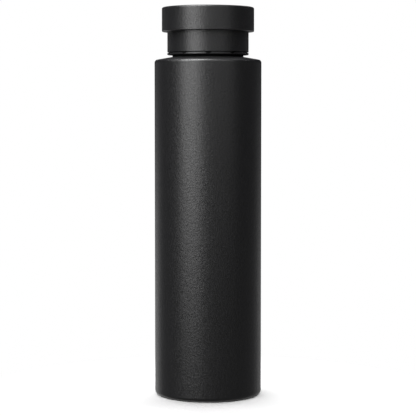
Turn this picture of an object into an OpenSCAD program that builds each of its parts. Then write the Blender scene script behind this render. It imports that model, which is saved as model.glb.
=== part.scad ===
// Slim double-walled vacuum flask with a two-tier screw lid.
// Origin at the centre of the base, on the surface it stands on. +Z is up, -Y is the front.

/* [Barrel] */
// Outside diameter of the barrel
body_d = 70.8; // [66:0.2:80]
// Height of the shoulder's edge above the table
shoulder_z = 222.6; // [150:0.2:260]
// Thickness of the outer steel
shell_wall = 0.5; // [0.4:0.1:0.6]
// Radius of the bottom corner
base_corner_r = 2.4; // [1.5:0.1:3]
// Radius of the shoulder's edge
shoulder_edge_r = 2.0; // [0.8:0.1:2.4]
// How far the shoulder's cone rises from its edge to the neck root
shoulder_rise = 2.1; // [2:0.1:3]
// How far the foot pad stands proud of the shell
pad_proud = 0.4; // [0.2:0.1:0.6]

/* [Liner] */
// Thickness of the liner's steel
liner_wall = 0.4; // [0.4:0.1:0.6]
// Width of the vacuum space round the liner
vacuum_gap = 3.8; // [3:0.1:5]
// Height of the liner's underside above the table
liner_z = 10.5; // [10:0.5:14]
// Inside diameter of the mouth
mouth_d = 39.2; // [37:0.2:39.2]

/* [Neck] */
// Diameter of the neck's root, seen between lid and shoulder
neck_root_d = 47; // [46.5:0.1:47.5]
// Height of the neck's root above the shoulder
neck_root_h = 2.4; // [2:0.1:2.6]
// Height of the mouth's rim above the shoulder's top
mouth_h = 19; // [19:0.1:19.4]
// Height of a thread ridge
thread_h = 1.1; // [0.9:0.1:1.1]
// Rise of the thread in one turn
thread_lead = 10; // [8:0.5:12]
// Number of thread starts
thread_starts = 2; // [1:1:3]

/* [Lid] */
// Diameter of the upper tier
cap_d = 61; // [59:0.1:64]
// Height of the upper tier
cap_h = 16.0; // [15.2:0.1:24]
// Diameter of the lower tier
collar_d = 53.8; // [53:0.1:54]
// Height of the lower tier
collar_h = 15.3; // [14.8:0.1:15.8]
// Gap between the lower tier and the shoulder's top
lid_gap = 1.3; // [1.2:0.1:1.8]
// Radius of the upper tier's top edge
cap_edge_r = 1.1; // [0.8:0.1:2]
// Height of the rim band below the lower tier's groove
rim_band_h = 1.3; // [1:0.1:2]
// Width of that groove
groove_w = 0.5; // [0.3:0.1:0.8]
// Number of notches round the rim band
notches = 10; // [6:1:12]
// Width of a notch at the groove
notch_w = 5.2; // [3:0.1:6]
// How deep the groove and the notches are cut
notch_depth = 0.9; // [0.5:0.1:1]

/* [Hidden] */

turn_fn = 120;   // steps of a turned shape
slip = 0.3;      // clearance between pieces that turn or slide on each other
fit = 0.1;       // clearance between pieces that are pushed or bonded together

// Barrel
body_r = body_d / 2;
neck_root_r = neck_root_d / 2;
shoulder_top = shoulder_z + shoulder_rise;
lip_r = body_r - 4;                          // inner edge of the shell's turned-in bottom
cup_top = pad_proud + 5.2;                   // top of the outer bottom's plate
cover_top = pad_proud + 3.3;
seal_hole_r = 1.4;

// Neck, from the bore outwards
mouth_r = mouth_d / 2;
liner_neck_r = mouth_r + liner_wall;
shell_neck_in = liner_neck_r + 0.5;
shell_neck_r = shell_neck_in + shell_wall;
sleeve_r = shell_neck_r + 0.7;
crest_r = sleeve_r + thread_h;
mouth_z = shoulder_top + mouth_h;
rim_h = 1;
neck_top = mouth_z - rim_h;
root_top = shoulder_top + neck_root_h;

// Liner
liner_r = body_r - shell_wall - vacuum_gap;
liner_in = liner_r - liner_wall;
liner_corner_r = 7;
liner_seam_z = liner_z + liner_corner_r + 2;
liner_shoulder_top = shoulder_z - 3.5;
liner_shoulder_z = liner_shoulder_top - (liner_r - liner_neck_r);

// Lid
lid_z = shoulder_top + lid_gap;
cap_r = cap_d / 2;
collar_r = collar_d / 2;
cap_z = lid_z + collar_h;
cap_top = cap_z + cap_h;
cap_wall = 0.6;
insert_root_r = crest_r + slip;
insert_crest_r = sleeve_r + 0.4;
insert_r = insert_root_r + 1;
insert_bottom = root_top + 0.5;
collar_in = insert_r + 0.2;
flange_r = cap_r - 1.5;
collar_flange_top = cap_z + cap_wall + 0.9;
ceiling_z = mouth_z + 2.4;
ceiling_t = 1.6;
boss_r = mouth_r - 1;
boss_in = boss_r - 1.6;
gasket_z = mouth_z + 0.05;
notch_foot = 0.5;                            // half the width of a notch at the rim
notch_turn = 0.5;                            // degrees that the front notch lies off the front

// Thread ridges
pitch = thread_lead / thread_starts;
ridge_root_w = min(2.2, pitch * 0.44);
ridge_crest_w = ridge_root_w * 0.45;
ridge_bury = 0.3;                            // how deep a ridge's root sits in its wall
ridge_z = root_top + 2.6;                    // middle of a ridge where it starts
ridge_turn = 340;                            // degrees that a neck ridge runs
insert_ridge_turn = 250;                     // degrees that a ridge in the lid runs
ridge_step = 10;
ridge_fade = 3;                              // steps over which a ridge rises from nothing

// Points of an arc round c from angle a to angle b.
function arc(c, r, a, b, n = 8) = [
    for (i = [0 : n]) c + r * [cos(a + (b - a) * i / n), sin(a + (b - a) * i / n)]
];

function reversed(list) = [for (i = [len(list) - 1 : -1 : 0]) list[i]];

// A body of revolution from its half section.
module turned(points) {
    rotate_extrude($fn = turn_fn) polygon(points);
}

// A ring with a rectangular section.
module ring(r_in, r_out, z_low, z_high) {
    turned([[r_in, z_low], [r_out, z_low], [r_out, z_high], [r_in, z_high]]);
}

module disc(r, z_low, z_high) {
    translate([0, 0, z_low]) cylinder(h = z_high - z_low, r = r, $fn = turn_fn);
}

// One helical ridge of trapezoid section that stands from radius r_wall to r_tip, with faded ends.
module ridge(r_wall, r_tip, z_start, turn) {
    outward = sign(r_tip - r_wall);
    steps = ceil(turn / ridge_step);
    rings = [
        for (i = [0 : steps])
            let (a = i * turn / steps,
                 grown = min(1, (i + 0.2) / ridge_fade, (steps - i + 0.2) / ridge_fade),
                 tip = r_wall + (r_tip - r_wall) * grown,
                 foot = r_wall - outward * ridge_bury,
                 z = z_start + thread_lead * a / 360,
                 section = [[foot, -ridge_root_w / 2], [tip, -ridge_crest_w / 2],
                            [tip, ridge_crest_w / 2], [foot, ridge_root_w / 2]])
            for (p = section) [p[0] * cos(a), p[0] * sin(a), z + p[1]]
    ];
    sides = [
        for (i = [0 : steps - 1], k = [0 : 3])
            let (a = 4 * i + k, b = 4 * i + (k + 1) % 4)
            each [[a, b, a + 4], [b, b + 4, a + 4]]
    ];
    last = 4 * steps;
    faces = concat(sides, [[0, 2, 1], [0, 3, 2], [last, last + 1, last + 2], [last, last + 2, last + 3]]);
    polyhedron(rings, outward > 0 ? faces : [for (f = faces) reversed(f)]);
}

// The barrel, its shoulder and its neck, pressed from one tube.
module outer_shell() {
    w = shell_wall;
    low = pad_proud;
    slope = atan(shoulder_rise / (body_r - shoulder_edge_r - neck_root_r));
    corner = [body_r - base_corner_r, low + base_corner_r];
    edge = [body_r - shoulder_edge_r, shoulder_z - shoulder_edge_r];
    outside = concat(
        [[lip_r, low]],
        arc(corner, base_corner_r, -90, 0),
        arc(edge, shoulder_edge_r, 0, 90 - slope),
        [[neck_root_r, shoulder_top], [neck_root_r, root_top - 0.5], [neck_root_r - 0.5, root_top],
         [shell_neck_r, root_top], [shell_neck_r, neck_top]]
    );
    inside = concat(
        [[lip_r, low + w]],
        arc(corner, base_corner_r - w, -90, 0),
        arc(edge, shoulder_edge_r - w, 0, 90 - slope),
        [[neck_root_r - w, shoulder_top - w / 2], [neck_root_r - w, root_top - w],
         [shell_neck_in, root_top - w], [shell_neck_in, neck_top]]
    );
    color([0.07, 0.07, 0.08]) turned(concat(outside, reversed(inside)));
}

// The pressed cup that closes the barrel, with the pump-out hole at its middle.
module outer_bottom() {
    r = lip_r - fit;
    w = shell_wall;
    low = pad_proud + 0.2;
    color("silver") turned([
        [seal_hole_r, cup_top - w], [r - w, cup_top - w], [r - w, low], [r, low], [r, cup_top],
        [seal_hole_r, cup_top]
    ]);
}

module base_cover() {
    r = lip_r - fit - shell_wall - fit;
    w = 0.5;
    color("silver") turned([
        [0, cover_top - w], [r - w, cover_top - w], [r - w, cover_top - 2.2], [r, cover_top - 2.2],
        [r, cover_top], [0, cover_top]
    ]);
}

// The silicone foot pad, with grip grooves in its underside.
module base_pad() {
    r = lip_r - 2 * fit - shell_wall - 0.5 - fit;
    groove_w = 1.6;
    groove_depth = 0.8;
    color([0.1, 0.1, 0.1]) difference() {
        disc(r, 0, cover_top - 0.5);
        for (groove_r = [r - 4 : -5 : 10])
            ring(groove_r - groove_w, groove_r, -1, groove_depth);
    }
}

module vacuum_seal() {
    color("lightgray") union() {
        disc(seal_hole_r, cup_top - shell_wall, cup_top);
        translate([0, 0, cover_top + 0.1])
            cylinder(h = cup_top - shell_wall - cover_top - 0.1, r1 = 2.2, r2 = 3, $fn = turn_fn);
    }
}

getter_at = [15, 0, 0];
getter_r = 4;

module getter() {
    color("dimgray") translate(getter_at) disc(getter_r, cup_top + 0.4, cup_top + 2.8);
}

module getter_holder() {
    r = getter_r + 0.2;
    color("silver") translate(getter_at) difference() {
        disc(r + 0.4, cup_top, cup_top + 2.2);
        disc(r, cup_top + 0.4, cup_top + 3);
    }
}

// The inner bottle down to the seam with its bottom.
module liner() {
    w = liner_wall;
    bend = 0.4 * w;
    color("gainsboro") turned([
        [liner_r, liner_seam_z], [liner_r, liner_shoulder_z], [liner_neck_r, liner_shoulder_top],
        [liner_neck_r, neck_top], [mouth_r, neck_top], [mouth_r, liner_shoulder_top - bend],
        [liner_in, liner_shoulder_z - bend], [liner_in, liner_seam_z]
    ]);
}

module liner_bottom() {
    w = liner_wall;
    c = [liner_r - liner_corner_r, liner_z + liner_corner_r];
    color("gainsboro") turned(concat(
        [[0, liner_z]],
        arc(c, liner_corner_r, -90, 0),
        [[liner_r, liner_seam_z], [liner_in, liner_seam_z]],
        arc(c, liner_corner_r - w, 0, -90),
        [[0, liner_z + w]]
    ));
}

foil_t = 0.1;

module heat_shield() {
    r = liner_r + slip;
    color("goldenrod") ring(r, r + foil_t, liner_seam_z + 4, liner_shoulder_z - 4);
}

module heat_shield_disc() {
    color("goldenrod") disc(liner_r - liner_corner_r, liner_z - foil_t, liner_z);
}

// The rounded ring welded across the tops of the liner and the shell's neck.
module mouth_rim() {
    r = 0.45;
    color("whitesmoke") turned(concat(
        [[mouth_r, neck_top], [shell_neck_r, neck_top]],
        arc([shell_neck_r - r, mouth_z - r], r, 0, 90, 5),
        arc([mouth_r + r, mouth_z - r], r, 90, 180, 5)
    ));
}

module neck_thread_sleeve() {
    color("silver") union() {
        ring(shell_neck_r, sleeve_r, root_top, neck_top - 0.4);
        for (start = [0 : thread_starts - 1])
            rotate([0, 0, start * 360 / thread_starts])
                ridge(sleeve_r, crest_r, ridge_z, ridge_turn);
    }
}

// The silicone ring between the lid and the mouth's rim.
module lid_gasket() {
    r_in = boss_r + slip;
    r_out = insert_root_r - slip - 0.1;
    top = ceiling_z - 0.1;
    color("lightgray") turned([
        [r_in, gasket_z], [r_out, gasket_z], [r_out, gasket_z + 0.7], [r_out - 0.5, gasket_z + 1.1],
        [r_out, gasket_z + 1.5], [r_out, top], [r_in, top]
    ]);
}

// The lid's upper tier: a drawn cup with its lower edge rolled in under the collar's flange.
module lid_shell() {
    w = cap_wall;
    top = [cap_r - cap_edge_r, cap_top - cap_edge_r];
    under_r = 0.5;
    low = [cap_r - under_r, cap_z + under_r];
    color([0.07, 0.07, 0.08]) turned(concat(
        [[collar_r + 0.15, cap_z]],
        arc(low, under_r, -90, 0, 4),
        arc(top, cap_edge_r, 0, 90),
        [[0, cap_top], [0, cap_top - w]],
        arc(top, cap_edge_r - w, 90, 0),
        [[cap_r - w, cap_z + w], [collar_r + 0.15, cap_z + w]]
    ));
}

// The lid's lower tier. A groove sets off its rim band, and tapered notches open from the groove downwards.
module lid_collar() {
    edge = 0.3;
    past = 1;                                // how far a notch's cutter runs past the surface
    below = 0.2;                             // how far it runs past the rim
    groove_z = lid_z + rim_band_h;
    floor_r = collar_r - notch_depth;
    notch_top = rim_band_h + groove_w / 2;
    taper = (notch_w / 2 - notch_foot) / notch_top;
    low_w = notch_foot - below * taper;
    color([0.07, 0.07, 0.08]) difference() {
        turned([
            [collar_in, lid_z], [collar_r - edge, lid_z], [collar_r, lid_z + edge], [collar_r, groove_z],
            [floor_r, groove_z], [floor_r, groove_z + groove_w], [collar_r, groove_z + groove_w],
            [collar_r, cap_z + cap_wall], [flange_r, cap_z + cap_wall],
            [flange_r, collar_flange_top], [collar_in, collar_flange_top]
        ]);
        for (i = [0 : notches - 1])
            rotate([0, 0, -90 + notch_turn + i * 360 / notches])
                translate([floor_r + 0.1, 0, lid_z]) rotate([90, 0, 90])
                    linear_extrude(notch_depth + past) polygon([
                        [-low_w, -below], [low_w, -below], [notch_w / 2, notch_top], [-notch_w / 2, notch_top]
                    ]);
    }
}

// The threaded insert: skirt, flange, ceiling and the boss that carries the inner plate.
module lid_insert() {
    color([0.12, 0.12, 0.13]) union() {
        turned([
            [insert_root_r, insert_bottom], [insert_r, insert_bottom],
            [insert_r, collar_flange_top + fit], [flange_r, collar_flange_top + fit],
            [flange_r, collar_flange_top + 1.6], [insert_r, collar_flange_top + 1.6],
            [insert_r, ceiling_z + ceiling_t], [0, ceiling_z + ceiling_t], [0, ceiling_z],
            [boss_in, ceiling_z], [boss_in, mouth_z + 0.8], [boss_r, mouth_z + 0.8],
            [boss_r, ceiling_z], [insert_root_r, ceiling_z]
        ]);
        for (start = [0 : thread_starts - 1])
            rotate([0, 0, (start + 0.5) * 360 / thread_starts])
                ridge(insert_root_r, insert_crest_r, ridge_z, insert_ridge_turn);
    }
}

module lid_lock_ring() {
    low = collar_flange_top + 1.7;
    color([0.2, 0.2, 0.2]) ring(insert_r + 0.6, cap_r - cap_wall - fit, low, low + 1.5);
}

module lid_insulation() {
    color("white") disc(cap_r - cap_wall - 0.6, ceiling_z + ceiling_t + 0.2, cap_top - cap_wall - 0.2);
}

// The steel disc that faces the drink, lightly dished for stiffness.
module lid_inner_plate() {
    r = boss_in - fit;
    t = 0.5;
    dish = 0.3;
    color("gainsboro") turned([
        [0, ceiling_z - t - dish], [r * 0.7, ceiling_z - t - dish], [r * 0.78, ceiling_z - t], [r, ceiling_z - t],
        [r, ceiling_z], [r * 0.76, ceiling_z], [r * 0.68, ceiling_z - dish], [0, ceiling_z - dish]
    ]);
}

module plate_retainer() {
    r = boss_in - fit;
    top = ceiling_z - 0.6;
    color([0.12, 0.12, 0.13]) ring(r - 1.3, r, top - 0.8, top);
}

outer_shell();
outer_bottom();
base_cover();
base_pad();
vacuum_seal();
getter();
getter_holder();
liner();
liner_bottom();
heat_shield();
heat_shield_disc();
mouth_rim();
neck_thread_sleeve();
lid_gasket();
lid_shell();
lid_collar();
lid_insert();
lid_lock_ring();
lid_insulation();
lid_inner_plate();
plate_retainer();
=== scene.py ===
import math

import bmesh
import bpy
import numpy as np
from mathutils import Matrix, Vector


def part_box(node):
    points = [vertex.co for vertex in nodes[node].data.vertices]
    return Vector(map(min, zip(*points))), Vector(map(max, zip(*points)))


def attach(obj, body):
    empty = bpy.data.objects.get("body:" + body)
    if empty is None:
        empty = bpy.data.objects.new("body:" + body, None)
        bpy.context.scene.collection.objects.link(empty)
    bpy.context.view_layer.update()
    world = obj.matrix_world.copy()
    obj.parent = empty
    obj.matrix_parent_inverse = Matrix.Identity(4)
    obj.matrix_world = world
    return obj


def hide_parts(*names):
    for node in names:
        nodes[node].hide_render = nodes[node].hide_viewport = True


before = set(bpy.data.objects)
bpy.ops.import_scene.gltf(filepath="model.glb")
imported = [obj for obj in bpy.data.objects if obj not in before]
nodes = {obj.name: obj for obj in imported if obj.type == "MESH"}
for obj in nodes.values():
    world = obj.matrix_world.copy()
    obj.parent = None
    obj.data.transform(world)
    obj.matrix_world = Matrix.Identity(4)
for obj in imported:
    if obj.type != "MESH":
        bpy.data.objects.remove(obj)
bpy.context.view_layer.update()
MM = 0.001


# ---- Barrel ----
# One tube of stainless steel, turned in under the base, drawn in to a shallow shoulder and a neck.
# It carries a black powder coat with a fine sandy grain. The neck is bare above its root, which has painted
# shade.
shell_low, shell_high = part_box("outer_shell")
SHELL_WALL = 0.5 * MM
BODY_R = shell_high.x
FOOT_Z = shell_low.z
LIP_R = BODY_R - 4 * MM
CORNER_R = 2.4 * MM
SHOULDER_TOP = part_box("lid_collar")[0].z - 1.3 * MM
SHOULDER_Z = SHOULDER_TOP - 2.1 * MM
SHOULDER_EDGE_R = 2.0 * MM
NECK_ROOT_R = 23.5 * MM
NECK_ROOT_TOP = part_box("neck_thread_sleeve")[0].z
NECK_TOP = shell_high.z
MOUTH_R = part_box("mouth_rim")[1].x - 1.4 * MM
NECK_R = MOUTH_R + 1.4 * MM
COLUMNS = 256
SUPPORT = 0.08 * MM
LONGEST_SPAN = 6 * MM
MARGIN = 0.1 * MM                  # a change of finish lies this far past a corner
TINY = 1e-6


def section(*corners, closed=True, arc_steps=7):
    """Outline of a turned piece, run anticlockwise, from corners (radius, height, rounding, spacing).
    A rounded corner is an arc that touches both of its sides. A straight side has a point just inside each
    end, which keeps it flat when it is shaded, and enough points that none is longer than the spacing."""
    corners = [tuple(c) + (0.0, LONGEST_SPAN)[len(c) - 2:] for c in corners]
    places = np.array([c[:2] for c in corners])
    points, spacing = [], []
    for k, (_, _, rounding, gap) in enumerate(corners):
        here = places[k]
        if not rounding:
            points.append(here)
            spacing.append(gap)
            continue
        back = places[k - 1] - here
        ahead = places[(k + 1) % len(corners)] - here
        back, ahead = back / np.linalg.norm(back), ahead / np.linalg.norm(ahead)
        half_angle = np.arccos(np.clip(back @ ahead, -1, 1)) / 2
        inward = (back + ahead) / np.linalg.norm(back + ahead)
        centre = here + inward * rounding / np.sin(half_angle)
        first = here + back * rounding / np.tan(half_angle) - centre
        last = here + ahead * rounding / np.tan(half_angle) - centre
        start = np.arctan2(first[1], first[0])
        sweep = (np.arctan2(last[1], last[0]) - start + np.pi) % (2 * np.pi) - np.pi
        points += [centre + rounding * np.array([np.cos(a), np.sin(a)])
                   for a in start + sweep * np.linspace(0, 1, arc_steps)]
        spacing += [0] * (arc_steps - 1) + [gap]
    outline = []
    for k in range(len(points) if closed else len(points) - 1):
        a, b = points[k], points[(k + 1) % len(points)]
        length = np.linalg.norm(b - a)
        outline.append(a[None])
        if spacing[k] and length > 3 * SUPPORT:
            steps = max(1, math.ceil((length - 2 * SUPPORT) / spacing[k]))
            share = np.linspace(SUPPORT / length, 1 - SUPPORT / length, steps + 1)[:, None]
            outline.append(a + (b - a) * share)
    if not closed:
        outline.append(points[-1][None])
    return np.vstack(outline)


def turned(name, outline, body, material, closed=True, angles=None, warp=None):
    """A piece of revolution: the outline's point (r, z) goes to (r cos a, r sin a, z) for each angle a.
    warp(r, z, a) may change the radius and the angle over the grid. An open outline starts and ends on the
    axis, where each end closes to one point."""
    if angles is None:
        angles = np.arange(COLUMNS) * 2 * np.pi / COLUMNS
    r, a = np.meshgrid(outline[:, 0], angles, indexing="ij")
    z = np.repeat(outline[:, 1:], len(angles), 1)
    if warp:
        r, a = warp(r, z, a)
    grid = np.stack([r * np.cos(a), r * np.sin(a), z], -1)
    rows, columns = r.shape
    i, j = np.meshgrid(np.arange(rows if closed else rows - 1), np.arange(columns), indexing="ij")
    up, on = (i + 1) % rows, (j + 1) % columns
    quads = np.stack([i * columns + j, i * columns + on, up * columns + on, up * columns + j], -1)
    return solid(name, grid.reshape(-1, 3), quads.reshape(-1, 4), body, material, merge=not closed)


def solid(name, points, quads, body, material, merge=False, crease=math.radians(40)):
    """A mesh from points and four-sided faces, smooth except at creases, that rides on a body."""
    mesh = bpy.data.meshes.new(name)
    mesh.vertices.add(len(points))
    mesh.vertices.foreach_set("co", np.ascontiguousarray(points, np.float32).ravel())
    mesh.loops.add(quads.size)
    mesh.loops.foreach_set("vertex_index", quads.astype(np.int32).ravel())
    mesh.polygons.add(len(quads))
    mesh.polygons.foreach_set("loop_start", np.arange(0, quads.size, 4, dtype=np.int32))
    mesh.update(calc_edges=True)
    if merge:
        shape = bmesh.new()
        shape.from_mesh(mesh)
        bmesh.ops.remove_doubles(shape, verts=shape.verts, dist=1e-7)
        shape.to_mesh(mesh)
        shape.free()
    mesh.polygons.foreach_set("use_smooth", np.ones(len(mesh.polygons), bool))
    mesh.set_sharp_from_angle(angle=crease)
    mesh.materials.append(material)
    piece = bpy.data.objects.new(name, mesh)
    bpy.context.scene.collection.objects.link(piece)
    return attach(piece, body)


def second_finish(piece, material, chosen):
    """Gives a second material to the faces that chosen(centres, normals) picks."""
    mesh = piece.data
    mesh.materials.append(material)
    centres, normals = np.empty(len(mesh.polygons) * 3), np.empty(len(mesh.polygons) * 3)
    mesh.polygons.foreach_get("center", centres)
    mesh.polygons.foreach_get("normal", normals)
    picked = chosen(centres.reshape(-1, 3), normals.reshape(-1, 3))
    index = np.empty(len(mesh.polygons), np.int32)
    mesh.polygons.foreach_get("material_index", index)
    index[picked] = len(mesh.materials) - 1
    mesh.polygons.foreach_set("material_index", index)


def outwards(centre, normal):
    """Positive where a face looks away from the axis, and negative where it looks towards it."""
    return (centre[:, :2] * normal[:, :2]).sum(1)


def finish(name, base_color, roughness, metallic=0.0, **more):
    """A Principled material: its data, node tree, shader and object coordinates."""
    material = bpy.data.materials.new(name)
    material.use_nodes = True
    tree = material.node_tree
    shader = tree.nodes["Principled BSDF"]
    settings = {"Base Color": (*base_color, 1), "Roughness": roughness, "Metallic": metallic}
    settings.update({key.replace("_", " "): value for key, value in more.items()})
    for socket, value in settings.items():
        shader.inputs[socket].default_value = value
    return material, tree, shader, add(tree, "ShaderNodeTexCoord").outputs["Object"]


def add(tree, kind, values=(), links=(), **settings):
    """A shader node with its settings, its set inputs and its linked inputs."""
    made = tree.nodes.new(kind)
    for name, value in settings.items():
        setattr(made, name, value)
    for name, value in dict(values).items():
        made.inputs[name].default_value = value
    for name, source in dict(links).items():
        tree.links.new(source, made.inputs[name])
    return made


def noise(tree, place, size, detail=2.0, rough=0.5, stretch=None):
    """Noise with a grain of size metres, or of size divided by the stretch along each axis."""
    if stretch:
        place = add(tree, "ShaderNodeMapping", {"Scale": stretch}, {"Vector": place}).outputs[0]
    values = {"Scale": 1 / size, "Detail": detail, "Roughness": rough}
    return add(tree, "ShaderNodeTexNoise", values, {"Vector": place}).outputs["Fac"]


def spread(tree, value, low, high, start=0.3, end=0.7):
    """Maps a noise value from start..end to low..high."""
    ends = {"From Min": start, "From Max": end, "To Min": low, "To Max": high}
    return add(tree, "ShaderNodeMapRange", ends, {"Value": value}).outputs[0]


def bump(tree, shader, height, depth, under=None):
    """Raises the surface by height times depth metres, on top of an earlier bump."""
    links = {"Height": height}
    if under:
        links["Normal"] = under
    made = add(tree, "ShaderNodeBump", {"Strength": 1.0, "Distance": depth}, links)
    tree.links.new(made.outputs[0], shader.inputs["Normal"])
    return made.outputs[0]


def two_colours(tree, shader, value, first, second):
    """Sets the base colour between two colours by a value."""
    made = add(tree, "ShaderNodeMix", data_type="RGBA")
    for socket, colour in ((made.inputs[6], first), (made.inputs[7], second)):
        socket.default_value = (*colour, 1)
    tree.links.new(value, made.inputs[0])
    tree.links.new(made.outputs[2], shader.inputs["Base Color"])


def powder_coat():
    """Black polyester powder: a sandy grain in two sizes over a slight orange peel."""
    material, tree, shader, place = finish("black_powder_coat", (0.003, 0.003, 0.0033), 0.35)
    peel = bump(tree, shader, noise(tree, place, 3.2 * MM, 1.0), 0.05 * MM)
    sand = bump(tree, shader, noise(tree, place, 1.4 * MM, 2.0, 0.6), 0.12 * MM, peel)
    bump(tree, shader, noise(tree, place, 0.35 * MM, 1.0), 0.012 * MM, sand)
    patches = noise(tree, place, 1.3 * MM, 2.0)
    tree.links.new(spread(tree, patches, 0.33, 0.43), shader.inputs["Roughness"])
    two_colours(tree, shader, spread(tree, noise(tree, place, 0.6 * MM, 1.0), 0, 1),
                (0.002, 0.002, 0.0022), (0.0036, 0.0036, 0.004))
    return material


def satin_steel():
    """Stainless steel turned to a satin, with fine marks that run round the axis."""
    material, tree, shader, place = finish("satin_steel", (0.56, 0.56, 0.55), 0.34, 1.0)
    marks = noise(tree, place, 3 * MM, 3.0, 0.6, (1, 1, 30))
    bump(tree, shader, marks, 0.004 * MM)
    tree.links.new(spread(tree, marks, 0.28, 0.4), shader.inputs["Roughness"])
    return material


def painted_recess_shade():
    """Painted shade, near-black and matt, for the narrow recesses: the neck root under the lid, and the
    floors of the lid's groove and notches. It stands for the deep shadow in them, and isn't a coat of its
    own."""
    material, tree, shader, place = finish(
        "painted_recess_shade", (0.002, 0.002, 0.002), 0.9, Specular_IOR_Level=0.1)
    tree.links.new(spread(tree, noise(tree, place, 1.3 * MM, 2.0), 0.85, 0.95), shader.inputs["Roughness"])
    return material


def bare_steel(centre, normal):
    """The inside of the tube, the top of its turned-in foot, and the neck above its root."""
    inside = (outwards(centre, normal) < -TINY) & (centre[:, 2] > FOOT_Z + MARGIN)
    foot = (normal[:, 2] > 0.5) & (centre[:, 2] < FOOT_Z + SHELL_WALL + MARGIN)
    return inside | foot | (centre[:, 2] > NECK_ROOT_TOP + MARGIN)


def painted_shade_neck_root(centre, normal):
    """The outside of the neck root, from the top of the shoulder to the bare neck, which gets painted shade.
    """
    root = (centre[:, 2] > SHOULDER_TOP + MARGIN / 2) & (centre[:, 2] < NECK_ROOT_TOP + MARGIN)
    root &= np.hypot(*centre[:, :2].T) < NECK_ROOT_R + MARGIN
    return root & (outwards(centre, normal) > TINY)


powder, satin, painted_shadow_black = powder_coat(), satin_steel(), painted_recess_shade()
w = SHELL_WALL
barrel = turned("outer_shell_coated", section(
    (LIP_R, FOOT_Z, 0.2 * MM), (BODY_R, FOOT_Z, CORNER_R), (BODY_R, SHOULDER_Z, SHOULDER_EDGE_R),
    (NECK_ROOT_R, SHOULDER_TOP, 0.15 * MM), (NECK_ROOT_R, NECK_ROOT_TOP, 0.5 * MM), (NECK_R, NECK_ROOT_TOP),
    (NECK_R, NECK_TOP), (NECK_R - w, NECK_TOP), (NECK_R - w, NECK_ROOT_TOP - w, 0.2 * MM),
    (NECK_ROOT_R - w, NECK_ROOT_TOP - w), (NECK_ROOT_R - w, SHOULDER_TOP - 0.6 * w),
    (BODY_R - w, SHOULDER_Z - 0.6 * w, SHOULDER_EDGE_R), (BODY_R - w, FOOT_Z + w, CORNER_R - w),
    (LIP_R, FOOT_Z + w),
), "flask", powder)
second_finish(barrel, satin, bare_steel)
# The neck root gets the near-black painted shade of the recesses.
second_finish(barrel, painted_shadow_black, painted_shade_neck_root)
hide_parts("outer_shell")


# ---- Bottom plate and base cover ----
# Two pressed steel cups, one inside the other. The first closes the barrel and has the pump-out hole at
# its middle. The second is stuck over it and carries the foot pad. Only their rims show from below.
def keep(name, material):
    """A CAD node that is shown as it is, in a new finish."""
    piece = nodes[name]
    piece.data.materials.clear()
    piece.data.materials.append(material)


keep("outer_bottom", satin)
keep("base_cover", satin)


# ---- Foot pad ----
# A disc of black silicone bonded into the base cover, a little proud of the barrel so that it takes the
# weight. Ring grooves in its underside are moulded for grip.
PAD_GROOVE = 1.6 * MM
PAD_GROOVE_DEPTH = 0.8 * MM
PAD_GROOVE_STEP = 5 * MM
PAD_EDGE = 4 * MM
PAD_FIRST = 10 * MM
PAD_ROUNDING = 0.2 * MM


def black_silicone():
    """Matte moulded silicone with a fine grain and a trace of dust."""
    material, tree, shader, place = finish("black_silicone", (0.02, 0.02, 0.02), 0.62)
    bump(tree, shader, noise(tree, place, 0.5 * MM, 2.0), 0.02 * MM)
    tree.links.new(spread(tree, noise(tree, place, 7 * MM), 0.55, 0.72), shader.inputs["Roughness"])
    return material


pad_low, pad_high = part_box("base_pad")
pad_corners = [(0, pad_low.z)]
for groove_r in np.arange(pad_high.x - PAD_EDGE, PAD_FIRST, -PAD_GROOVE_STEP)[::-1]:
    inner, top = groove_r - PAD_GROOVE, pad_low.z + PAD_GROOVE_DEPTH
    pad_corners += [(inner, pad_low.z, PAD_ROUNDING), (inner, top, PAD_ROUNDING),
                    (groove_r, top, PAD_ROUNDING), (groove_r, pad_low.z, PAD_ROUNDING)]
pad_corners += [(pad_high.x, pad_low.z, 2 * PAD_ROUNDING), (pad_high.x, pad_high.z), (0, pad_high.z)]
pad_outline = section(*pad_corners, closed=False, arc_steps=4)
pad = turned("foot_pad", pad_outline, "flask", black_silicone(), closed=False)
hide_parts("base_pad")


# ---- Vacuum seal and getter ----
# A bead of sealing glass shuts the pump-out hole. Beside it a steel cup, spot-welded to the bottom plate,
# holds a sintered getter tablet that soaks up gas. All of this is hidden between the walls.
def sealing_glass():
    """Grey-green solder glass, fired smooth."""
    material, tree, shader, place = finish("sealing_glass", (0.35, 0.4, 0.36), 0.14)
    cloud = spread(tree, noise(tree, place, 1.5 * MM), 0, 1)
    two_colours(tree, shader, cloud, (0.3, 0.35, 0.31), (0.42, 0.47, 0.43))
    return material


def getter_metal():
    """Sintered zirconium alloy: dark, porous and dull."""
    material, tree, shader, place = finish("getter_metal", (0.12, 0.12, 0.125), 0.7, 0.7)
    bump(tree, shader, noise(tree, place, 0.3 * MM, 3.0, 0.7), 0.05 * MM)
    return material


keep("vacuum_seal", sealing_glass())
keep("getter", getter_metal())
keep("getter_holder", satin)


# ---- Liner ----
# The inner bottle that holds the drink: a drawn steel tube with a conical shoulder and a narrow neck, and
# a dished bottom welded on. It is electropolished, which leaves faint turning marks and a soft gloss.
liner_low, liner_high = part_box("liner")
LINER_WALL = 0.4 * MM
LINER_R = liner_high.x
LINER_IN = LINER_R - LINER_WALL
LINER_NECK_R = MOUTH_R + LINER_WALL
LINER_SHOULDER_TOP = SHOULDER_Z - 3.5 * MM
LINER_SHOULDER_Z = LINER_SHOULDER_TOP - (LINER_R - LINER_NECK_R)
LINER_CORNER_R = 7 * MM
LINER_BEND_R = 5 * MM


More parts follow.
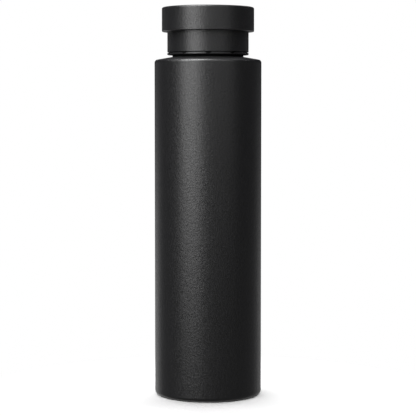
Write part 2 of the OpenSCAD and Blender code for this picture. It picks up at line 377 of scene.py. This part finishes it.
def liner_steel():
    """Electropolished stainless steel: bright, with faint rings and slow ripples from drawing."""
    material, tree, shader, place = finish("liner_steel", (0.63, 0.63, 0.62), 0.24, 1.0)
    ripple = bump(tree, shader, noise(tree, place, 14 * MM, 1.0, 0.5, (1, 1, 2)), 0.04 * MM)
    marks = noise(tree, place, 5 * MM, 3.0, 0.6, (1, 1, 25))
    bump(tree, shader, marks, 0.003 * MM, ripple)
    tree.links.new(spread(tree, marks, 0.2, 0.32), shader.inputs["Roughness"])
    return material


inner_steel = liner_steel()
w = LINER_WALL
bend = 0.4 * w
tube = turned("liner_tube", section(
    (LINER_R, liner_low.z), (LINER_R, LINER_SHOULDER_Z, LINER_BEND_R),
    (LINER_NECK_R, LINER_SHOULDER_TOP, LINER_BEND_R / 2), (LINER_NECK_R, NECK_TOP), (MOUTH_R, NECK_TOP),
    (MOUTH_R, LINER_SHOULDER_TOP - bend, LINER_BEND_R / 2 + w),
    (LINER_IN, LINER_SHOULDER_Z - bend, LINER_BEND_R - w), (LINER_IN, liner_low.z), arc_steps=12,
), "flask", inner_steel)
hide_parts("liner")

dish_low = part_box("liner_bottom")[0]
dish = turned("liner_dish", section(
    (0, dish_low.z), (LINER_R, dish_low.z, LINER_CORNER_R), (LINER_R, liner_low.z),
    (LINER_IN, liner_low.z), (LINER_IN, dish_low.z + w, LINER_CORNER_R - w), (0, dish_low.z + w),
    closed=False, arc_steps=14,
), "flask", inner_steel, closed=False)
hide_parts("liner_bottom")


# ---- Heat shield ----
# Copper foil wrapped round the liner and under its bottom, which throws heat back across the vacuum.
def copper_foil():
    """Bright copper foil, a little crinkled where it was wrapped by hand."""
    material, tree, shader, place = finish("copper_foil", (0.78, 0.38, 0.22), 0.28, 1.0)
    bump(tree, shader, noise(tree, place, 9 * MM, 4.0, 0.6), 0.3 * MM)
    tarnish = spread(tree, noise(tree, place, 12 * MM), 0, 1)
    two_colours(tree, shader, tarnish, (0.8, 0.42, 0.26), (0.68, 0.32, 0.18))
    return material


copper = copper_foil()
keep("heat_shield", copper)
keep("heat_shield_disc", copper)


# ---- Mouth rim ----
# A polished ring welded over the ends of the liner and the outer neck. It shuts the vacuum at the mouth
# and is the lip that the gasket seals on.
rim_low, rim_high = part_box("mouth_rim")
LIP_ROUNDING = 0.45 * MM


def polished_steel():
    """Stainless steel buffed almost to a mirror, with hairline scratches round the lip."""
    material, tree, shader, place = finish("polished_steel", (0.68, 0.68, 0.68), 0.1, 1.0)
    scratches = noise(tree, place, 2 * MM, 4.0, 0.7, (1, 1, 12))
    tree.links.new(spread(tree, scratches, 0.07, 0.18), shader.inputs["Roughness"])
    return material


rim = turned("mouth_lip", section(
    (MOUTH_R, rim_low.z), (NECK_R, rim_low.z), (NECK_R, rim_high.z, LIP_ROUNDING),
    (MOUTH_R, rim_high.z, LIP_ROUNDING), arc_steps=9,
), "flask", polished_steel())
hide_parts("mouth_rim")


# ---- Neck thread ----
# A steel sleeve welded round the neck, with two thread ridges rolled into it. They start opposite each
# other, run most of the way round and fade out at both ends.
sleeve_low, sleeve_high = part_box("neck_thread_sleeve")
THREAD_LEAD = 10 * MM
THREAD_STARTS = 2
THREAD_H = 1.1 * MM
THREAD_ROOT_W = 2.2 * MM
THREAD_CREST_W = 0.99 * MM
THREAD_Z = NECK_ROOT_TOP + 2.6 * MM
THREAD_FADE = math.radians(30)
NECK_RUN = math.radians(340)
THREAD_ROWS = 0.12 * MM
THREAD_COLUMNS = 480
SLEEVE_R = sleeve_high.x - THREAD_H


def ridge_height(z, a, first, run):
    """How far the thread stands from its wall, from 0 to 1, at height z and angle a.
    Each start's middle line rises by the lead in one turn, from its own angle. The height falls from 1 at
    the crest to 0 at the root in an S curve, and it fades over a twelfth of a turn at both ends."""
    height = np.zeros_like(z)
    for start in range(THREAD_STARTS):
        along = (a - first - start * 2 * np.pi / THREAD_STARTS) % (2 * np.pi)
        off = np.abs(z - THREAD_Z - THREAD_LEAD * along / (2 * np.pi))
        side = np.clip((THREAD_ROOT_W / 2 - off) / (THREAD_ROOT_W / 2 - THREAD_CREST_W / 2), 0, 1)
        end = np.clip(np.minimum(along, run - along) / THREAD_FADE, 0, 1)
        height = np.maximum(height, side * side * (3 - 2 * side) * end)
    return height


def neck_thread(r, z, a):
    """The sleeve's outside stands out by the ridge."""
    ridge = ridge_height(z, a, 0, NECK_RUN)
    return np.where(r > SLEEVE_R - TINY, r + THREAD_H * ridge, r), a


around = np.arange(THREAD_COLUMNS) * 2 * np.pi / THREAD_COLUMNS
sleeve = turned("neck_thread", section(
    (NECK_R, sleeve_low.z), (SLEEVE_R, sleeve_low.z, 0, THREAD_ROWS), (SLEEVE_R, sleeve_high.z),
    (NECK_R, sleeve_high.z),
), "flask", satin, angles=around, warp=neck_thread)
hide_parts("neck_thread_sleeve")


# ---- Gasket ----
# A ring of milky silicone that stays in the lid and is pinched on the mouth rim. A V groove round its
# outside makes its lower half a springy lip.
gasket_low, gasket_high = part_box("lid_gasket")
GASKET_IN = MOUTH_R - 0.7 * MM
GASKET_ROUNDING = 0.15 * MM


def clear_silicone():
    """Milky food-grade silicone that lets a little light in."""
    material, tree, shader, place = finish(
        "clear_silicone", (0.74, 0.75, 0.74), 0.38, Subsurface_Weight=0.3, Subsurface_Scale=0.002)
    bump(tree, shader, noise(tree, place, 0.8 * MM), 0.01 * MM)
    tree.links.new(spread(tree, noise(tree, place, 4 * MM), 0.33, 0.45), shader.inputs["Roughness"])
    return material


g, r_out, z_low = GASKET_ROUNDING, gasket_high.x, gasket_low.z
gasket = turned("gasket_ring", section(
    (GASKET_IN, z_low, g), (r_out, z_low, g), (r_out, z_low + 0.7 * MM, g),
    (r_out - 0.5 * MM, z_low + 1.1 * MM, g), (r_out, z_low + 1.5 * MM, g), (r_out, gasket_high.z, g),
    (GASKET_IN, gasket_high.z, g), arc_steps=5,
), "seal", clear_silicone())
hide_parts("lid_gasket")


# ---- Lid, upper tier ----
# A drawn steel cup turned upside down, with its edge rolled in under the collar's flange. It has the same
# black powder coat as the barrel, inside and out.
cap_low, cap_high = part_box("lid_shell")
CAP_R = cap_high.x
CAP_WALL = 0.6 * MM
CAP_EDGE_R = 1.1 * MM
CAP_UNDER_R = 0.5 * MM
COLLAR_R = 26.9 * MM
CAP_HOLE_R = COLLAR_R + 0.15 * MM

w = CAP_WALL
cap = turned("lid_upper_tier", section(
    (0, cap_high.z - w), (CAP_R - w, cap_high.z - w, CAP_EDGE_R - w), (CAP_R - w, cap_low.z + w, 0.1 * MM),
    (CAP_HOLE_R, cap_low.z + w), (CAP_HOLE_R, cap_low.z), (CAP_R, cap_low.z, CAP_UNDER_R),
    (CAP_R, cap_high.z, CAP_EDGE_R), (0, cap_high.z), closed=False, arc_steps=9,
), "lid", powder, closed=False)
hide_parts("lid_shell")


# ---- Lid, lower tier ----
# A coated collar whose flange is held inside the upper tier. A fine groove sets off its rim band, and ten
# notches, wide at the groove and narrow at the rim, give wet fingers a grip on it. Their floors have painted
# shade.
collar_low, collar_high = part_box("lid_collar")
COLLAR_IN = 24.3 * MM
COLLAR_FLANGE_R = CAP_R - 1.5 * MM
RIM_BAND_H = 1.3 * MM
GROOVE_W = 0.5 * MM
GROOVE_DEPTH = 0.9 * MM
NOTCHES = 10
NOTCH_TOP_W = 5.2 * MM
NOTCH_FOOT_W = 1.0 * MM
NOTCH_DEPTH = 0.8 * MM
NOTCH_TURN = math.radians(0.5)
NOTCH_FLANK = 0.06 * MM
FLOOR_SHARE = 0.02                 # a cut leaves this share of the rim's height above its floor
FLOOR_MARGIN = 0.3 * MM            # a face this far below the rim's surface is part of a floor
RIM_ROWS = 0.05 * MM

sector = 2 * np.pi * COLLAR_R / NOTCHES
half_top = NOTCH_TOP_W / 2
inside = np.linspace(-half_top, half_top, 15)
outside = np.linspace(half_top + NOTCH_FLANK, sector - half_top - NOTCH_FLANK, 40)
columns = np.concatenate([inside, outside])
collar_angles = (columns[None] + sector * np.arange(NOTCHES)[:, None]).ravel() / COLLAR_R


def rim_band(r, z, a):
    """The groove is a ring window in z, GROOVE_DEPTH deep. A notch is a window in the distance round the
    rim from its middle, and its half width grows from foot to top with z. The columns beside a notch slide
    with that half width, so its flanks are clean edges."""
    along = a * COLLAR_R
    turn = np.round(along / sector)
    off = along - turn * sector
    rise = np.clip((z - collar_low.z) / (RIM_BAND_H + GROOVE_W / 2), 0, 1)
    half = NOTCH_FOOT_W / 2 + (half_top - NOTCH_FOOT_W / 2) * rise
    share = (np.abs(off) - half_top) / (sector / 2 - half_top)
    slid = np.where(share > TINY, half + share * (sector / 2 - half), np.abs(off) / half_top * half)
    groove_z = collar_low.z + RIM_BAND_H
    in_groove = (z > groove_z - TINY) & (z < groove_z + GROOVE_W + TINY)
    in_notch = (share < TINY) & (z < groove_z + GROOVE_W)
    cut = np.where(in_groove, GROOVE_DEPTH, np.where(in_notch, NOTCH_DEPTH, 0))
    floor = COLLAR_R - cut
    pressed = (cut > 0) & (r > COLLAR_R - GROOVE_DEPTH - TINY) & (r > floor)
    r = np.where(pressed, floor + FLOOR_SHARE * (r - floor), r)
    angle = (turn * sector + np.sign(off) * slid) / COLLAR_R
    return r, angle - np.pi / 2 + NOTCH_TURN


def painted_shade_floors(centre, normal):
    """The floors of the groove and the notches, which look outwards from below the rim's surface. They get
    painted shade.
    """
    deep = np.hypot(*centre[:, :2].T) < COLLAR_R - FLOOR_MARGIN
    return deep & (centre[:, 2] < groove_high + MARGIN) & (outwards(centre, normal) > TINY)


groove_low, groove_high = collar_low.z + RIM_BAND_H, collar_low.z + RIM_BAND_H + GROOVE_W
collar = turned("lid_lower_tier", section(
    (COLLAR_IN, collar_low.z), (COLLAR_R, collar_low.z, 0.25 * MM, RIM_ROWS * 3),
    (COLLAR_R, groove_low - NOTCH_FLANK), (COLLAR_R, groove_low, 0, RIM_ROWS * 2), (COLLAR_R, groove_high),
    (COLLAR_R, groove_high + NOTCH_FLANK), (COLLAR_R, cap_low.z + CAP_WALL),
    (COLLAR_FLANGE_R, cap_low.z + CAP_WALL), (COLLAR_FLANGE_R, collar_high.z), (COLLAR_IN, collar_high.z),
), "lid", powder, angles=collar_angles, warp=rim_band)
# The floors of the groove and the notches get the near-black painted shade.
second_finish(collar, painted_shadow_black, painted_shade_floors)
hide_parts("lid_collar")


# ---- Lid insert ----
# One moulding of black polypropylene: the skirt with the lid's thread, a flange that clamps the collar, a
# ceiling over the mouth, and the round boss that carries the steel plate.
insert_low, insert_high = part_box("lid_insert")
INSERT_ROOT_R = sleeve_high.x + 0.3 * MM
INSERT_R = INSERT_ROOT_R + 1.0 * MM
INSERT_RIDGE = INSERT_ROOT_R - SLEEVE_R - 0.4 * MM
INSERT_ROWS = 0.14 * MM
FLANGE_Z = collar_high.z + 0.1 * MM
FLANGE_T = 1.5 * MM
CEILING_T = 1.6 * MM
CEILING_Z = insert_high.z - CEILING_T
BOSS_R = MOUTH_R - 1 * MM
BOSS_IN = BOSS_R - 1.6 * MM
BOSS_Z = CEILING_Z - 1.6 * MM
INSERT_RUN = math.radians(250)


def polypropylene():
    """Moulded black polypropylene with a fine spark-eroded texture."""
    material, tree, shader, place = finish("black_polypropylene", (0.022, 0.022, 0.023), 0.45)
    bump(tree, shader, noise(tree, place, 0.35 * MM, 2.0), 0.015 * MM)
    tree.links.new(spread(tree, noise(tree, place, 3 * MM), 0.4, 0.52), shader.inputs["Roughness"])
    return material


def lid_thread(r, z, a):
    """The skirt's inside stands inwards by the ridge."""
    ridge = ridge_height(z, a, math.pi / THREAD_STARTS, INSERT_RUN)
    inner = (np.abs(r - INSERT_ROOT_R) < TINY) & (z < CEILING_Z - TINY)
    return np.where(inner, r - INSERT_RIDGE * ridge, r), a


plastic = polypropylene()
insert = turned("lid_threaded_insert", section(
    (0, CEILING_Z), (BOSS_IN, CEILING_Z), (BOSS_IN, BOSS_Z, 0.3 * MM), (BOSS_R, BOSS_Z, 0.4 * MM),
    (BOSS_R, CEILING_Z), (INSERT_ROOT_R, CEILING_Z, 0, INSERT_ROWS), (INSERT_ROOT_R, insert_low.z),
    (INSERT_R, insert_low.z, 0.2 * MM), (INSERT_R, FLANGE_Z), (COLLAR_FLANGE_R, FLANGE_Z),
    (COLLAR_FLANGE_R, FLANGE_Z + FLANGE_T), (INSERT_R, FLANGE_Z + FLANGE_T), (INSERT_R, insert_high.z),
    (0, insert_high.z), closed=False,
), "lid", plastic, closed=False, angles=around, warp=lid_thread)
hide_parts("lid_insert")


# ---- Lock ring and insulation ----
# Hidden in the upper tier: a plastic ring pressed in over the insert's flange, which locks the two tiers
# together, and a disc of white foam that fills the rest.
def white_foam():
    """Rigid white foam with small closed cells."""
    material, tree, shader, place = finish("white_foam", (0.82, 0.82, 0.8), 0.85)
    cells = add(tree, "ShaderNodeTexVoronoi", {"Scale": 1 / (0.9 * MM)}, {"Vector": place})
    bump(tree, shader, cells.outputs["Distance"], 0.15 * MM)
    return material


keep("lid_lock_ring", plastic)
keep("lid_insulation", white_foam())


# ---- Inner plate and retainer ----
# The steel disc that faces the drink from inside the boss, stamped with a shallow dish so that it stays
# flat, and the plastic ring snapped in below it.
plate_low, plate_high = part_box("lid_inner_plate")
PLATE_DISH = 0.3 * MM
PLATE_BEND_R = 1 * MM
PLATE_R = plate_high.x


def spun_plate_steel():
    """Steel with rings left by the lathe: noise read along the distance from the axis."""
    material, tree, shader, place = finish("plate_steel", (0.63, 0.63, 0.62), 0.26, 1.0)
    flat = add(tree, "ShaderNodeVectorMath", {1: (1, 1, 0)}, {0: place}, operation="MULTIPLY").outputs[0]
    distance = add(tree, "ShaderNodeVectorMath", (), {0: flat}, operation="LENGTH").outputs["Value"]
    rings = add(tree, "ShaderNodeTexNoise", {"Scale": 1 / (0.25 * MM), "Detail": 2.0}, {"W": distance},
                noise_dimensions="1D").outputs["Fac"]
    bump(tree, shader, rings, 0.003 * MM)
    tree.links.new(spread(tree, rings, 0.2, 0.34), shader.inputs["Roughness"])
    return material


plate = turned("lid_plate", section(
    (0, plate_low.z), (0.7 * PLATE_R, plate_low.z, PLATE_BEND_R),
    (0.78 * PLATE_R, plate_low.z + PLATE_DISH, PLATE_BEND_R), (PLATE_R, plate_low.z + PLATE_DISH),
    (PLATE_R, plate_high.z), (0.76 * PLATE_R, plate_high.z, PLATE_BEND_R),
    (0.68 * PLATE_R, plate_high.z - PLATE_DISH, PLATE_BEND_R), (0, plate_high.z - PLATE_DISH), closed=False,
), "lid", spun_plate_steel(), closed=False)
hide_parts("lid_inner_plate")

retainer_low, retainer_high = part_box("plate_retainer")
RETAINER_W = 1.3 * MM
RETAINER_ROUNDING = 0.25 * MM
outer = retainer_high.x
retainer = turned("plate_snap_ring", section(
    (outer - RETAINER_W, retainer_low.z, RETAINER_ROUNDING), (outer, retainer_low.z, RETAINER_ROUNDING),
    (outer, retainer_high.z), (outer - RETAINER_W, retainer_high.z, RETAINER_ROUNDING), arc_steps=5,
), "lid", plastic)
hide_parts("plate_retainer")


# ---- Table ----
# A white sheet, lit close to the flask, where it takes its soft contact shadow. Further out it fades into
# plain white. The flask doesn't reflect it: the glow from below that is set with the lights stands for it.
TABLE_HALF = 3.0
PAPER_GREY = 0.16
SHADOW_NEAR = 70 * MM
SHADOW_FAR = 160 * MM

table_mesh = bpy.data.meshes.new("table_top")
table_mesh.from_pydata([(-TABLE_HALF, -TABLE_HALF, 0), (TABLE_HALF, -TABLE_HALF, 0),
                        (TABLE_HALF, TABLE_HALF, 0), (-TABLE_HALF, TABLE_HALF, 0)], [], [(0, 1, 2, 3)])
table = bpy.data.objects.new("table_top", table_mesh)
bpy.context.scene.collection.objects.link(table)
table.visible_glossy = False
table.visible_diffuse = False
paper, tree, shader, place = finish("table_white", (PAPER_GREY,) * 3, 0.9, Specular_IOR_Level=0.0)
distance = add(tree, "ShaderNodeVectorMath", (), {0: place}, operation="LENGTH").outputs["Value"]
fade = spread(tree, distance, 0, 1, SHADOW_NEAR, SHADOW_FAR)
plain = add(tree, "ShaderNodeEmission", {"Color": (1, 1, 1, 1), "Strength": 1.0}).outputs[0]
blend = add(tree, "ShaderNodeMixShader", (), {0: fade, 1: shader.outputs[0], 2: plain}).outputs[0]
tree.links.new(blend, tree.nodes["Material Output"].inputs["Surface"])
table_mesh.materials.append(paper)


# ---- Lights ----
# Four soft boxes on the left, one above the other, a faint pair on the right and a wide one overhead.
# Three more behind light the table. The room is dark, apart from a ring of white card low behind the
# flask, brighter on the left, with a gap straight behind, and the table's dim glow below.
AIM_Z = 140 * MM
LIGHT_AWAY = 0.9
BOX_WATTS = 4                      # watts for each square metre that give a radiance of one
SOFT_BOXES = {                     # azimuth and elevation in degrees, width and height in metres, radiance
    "key_top": (-40, 62, 0.6, 0.3, 20),
    "key_high": (-43, 33, 0.5, 0.3, 9.5),
    "key_middle": (-40, 18, 0.6, 0.2, 2.3),
    "key_low": (-35, 3, 0.7, 0.2, 4.7),
    "fill_high": (18, 34, 1.1, 0.3, 2.3),
    "fill_low": (26, 8, 1.1, 0.2, 0.62),
    "overhead": (0, 90, 1.4, 1.2, 0.6),
}
TABLE_BOXES = {                    # these light the table from behind, and don't show in the flask's gloss
    "back_left": (-120, 35, 0.9, 0.5, 23),
    "back": (180, 35, 0.9, 0.5, 23),
    "back_right": (120, 35, 0.9, 0.5, 23),
}
ROOM_DIM = 0.005
TABLE_GLOW = 0.276
TABLE_EDGE = (-0.132, -0.013)      # a ray's slope where the table's glow is full, and where it has ended
CARD_GLOW = 0.87
CARD_START = (0.5, 0.82)           # how far back a ray points where the card begins, and where it is full
CARD_GAP = (0.88, 0.98)            # the same where the gap begins, and where the card has ended
CARD_TOP = (-0.12, 0.06)           # a ray's slope where the card begins to fade, and where it has ended
CARD_SIDES = (-0.3, 0.3)           # how far a ray points to the right where these two brightnesses hold
CARD_SHARES = (1.1, 0.45)


def soft_box(name, azimuth, elevation, width, height, radiance):
    """A rectangular light that faces the flask. Azimuth 0 is the front, and it grows to the right."""
    data = bpy.data.lights.new(name, "AREA")
    data.shape = "RECTANGLE"
    data.size, data.size_y = width, height
    data.energy = BOX_WATTS * width * height * radiance
    light = bpy.data.objects.new(name, data)
    turn, rise = math.radians(azimuth), math.radians(elevation)
    level = LIGHT_AWAY * math.cos(rise)
    light.location = (level * math.sin(turn), -level * math.cos(turn), AIM_Z + LIGHT_AWAY * math.sin(rise))
    light.rotation_euler = (math.pi / 2 - rise, 0, turn)
    bpy.context.scene.collection.objects.link(light)
    return light


def ramp(tree, value, start, end, low, high):
    """An S curve from low at start to high at end."""
    ends = {"From Min": start, "From Max": end, "To Min": low, "To Max": high}
    return add(tree, "ShaderNodeMapRange", ends, {"Value": value}, interpolation_type="SMOOTHSTEP").outputs[0]


def arithmetic(tree, operation, first, second):
    """One sum or product of two values."""
    return add(tree, "ShaderNodeMath", (), {0: first, 1: second}, operation=operation).outputs[0]


for box_name, box in SOFT_BOXES.items():
    soft_box(box_name, *box)
for box_name, box in TABLE_BOXES.items():
    soft_box(box_name, *box).visible_glossy = False

world = bpy.data.worlds.new("room")
world.use_nodes = True
bpy.context.scene.world = world
tree = world.node_tree
tree.nodes.clear()
direction = add(tree, "ShaderNodeTexCoord").outputs["Generated"]
parts = add(tree, "ShaderNodeSeparateXYZ", (), {0: direction})
below = ramp(tree, parts.outputs["Z"], *TABLE_EDGE, TABLE_GLOW + ROOM_DIM, ROOM_DIM)
card = ramp(tree, parts.outputs["Y"], *CARD_START, 0, CARD_GLOW)
gap = ramp(tree, parts.outputs["Y"], *CARD_GAP, 1, 0)
low = ramp(tree, parts.outputs["Z"], *CARD_TOP, 1, 0)
side = ramp(tree, parts.outputs["X"], *CARD_SIDES, *CARD_SHARES)
for share in (gap, low, side):
    card = arithmetic(tree, "MULTIPLY", card, share)
glow = arithmetic(tree, "ADD", below, card)
lit = add(tree, "ShaderNodeBackground", (), {"Strength": glow}).outputs[0]
seen = add(tree, "ShaderNodeBackground", {"Color": (1, 1, 1, 1), "Strength": 1.0}).outputs[0]
seen_directly = add(tree, "ShaderNodeLightPath").outputs["Is Camera Ray"]
both = add(tree, "ShaderNodeMixShader", (), {0: seen_directly, 1: lit, 2: seen}).outputs[0]
add(tree, "ShaderNodeOutputWorld", (), {"Surface": both})


# ---- Camera ----
# A long lens about a metre away, a little below the lid, that looks slightly down at the barrel.
LENS = 134.0                       # in millimetres, as the sensor's width is
SENSOR_W = 36.0
CAMERA_AWAY = 1030 * MM
CAMERA_Z = 190 * MM
LOOK_DOWN = 3.638                  # degrees

camera_data = bpy.data.cameras.new("camera")
camera_data.lens = LENS
camera_data.sensor_width = SENSOR_W
camera_data.clip_start = 10 * MM
camera = bpy.data.objects.new("camera", camera_data)
camera.location = (0, -CAMERA_AWAY, CAMERA_Z)
camera.rotation_euler = (math.radians(90 - LOOK_DOWN), 0, 0)
bpy.context.scene.collection.objects.link(camera)
bpy.context.scene.camera = camera
bpy.context.scene.view_settings.view_transform = "Standard"
